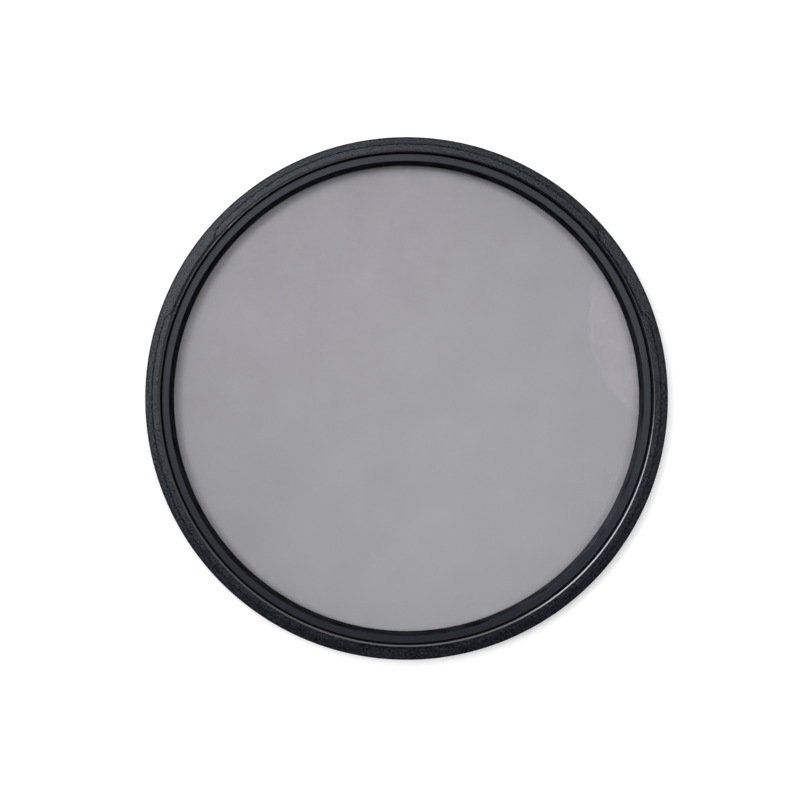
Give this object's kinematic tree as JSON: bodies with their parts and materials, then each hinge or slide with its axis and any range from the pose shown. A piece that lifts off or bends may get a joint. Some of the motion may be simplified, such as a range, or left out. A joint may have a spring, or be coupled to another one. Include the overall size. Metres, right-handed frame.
{
  "type": "circular polarizing filter",
  "caption": "Round screw-in polarizing filter for a camera lens: black metal mount ring, scalloped front ring that turns on it, and a neutral grey laminated glass.",
  "frame": {"origin": "on the filter's axis, at the rear end face of the male thread, on which the filter rests", "axes": "+Z out of the front of the filter, away from the lens; +X and +Y across it, with one scallop of the front rim towards -Y"},
  "size_m": [0.081, 0.081, 0.008],
  "materials": {
    "mount_ring_black": "satin black anodised, turned",
    "spring_steel": "drawn wire",
    "front_ring_black": "bead-blasted black anodised",
    "optical_glass": "polished and coated",
    "retarder_film": "clear stretched film",
    "polarizer_film": "neutral grey film",
    "retaining_ring_black": "satin black anodised, finely turned"
  },
  "bodies": {
    "mount": {"mount_ring": "mount_ring_black", "retaining_wire": "spring_steel"},
    "rotator": {"rotating_ring": "front_ring_black", "rear_glass": "optical_glass", "quarter_wave_film": "retarder_film", "polarizing_film": "polarizer_film", "front_glass": "optical_glass", "retaining_ring": "retaining_ring_black"}
  },
  "joints": [
    {"name": "polarizer_turn", "type": "hinge", "parent": "mount", "child": "rotator", "pos_m": [0, 0, 0.0034], "axis": [0, 0, 1], "continuous": true}
  ]
}
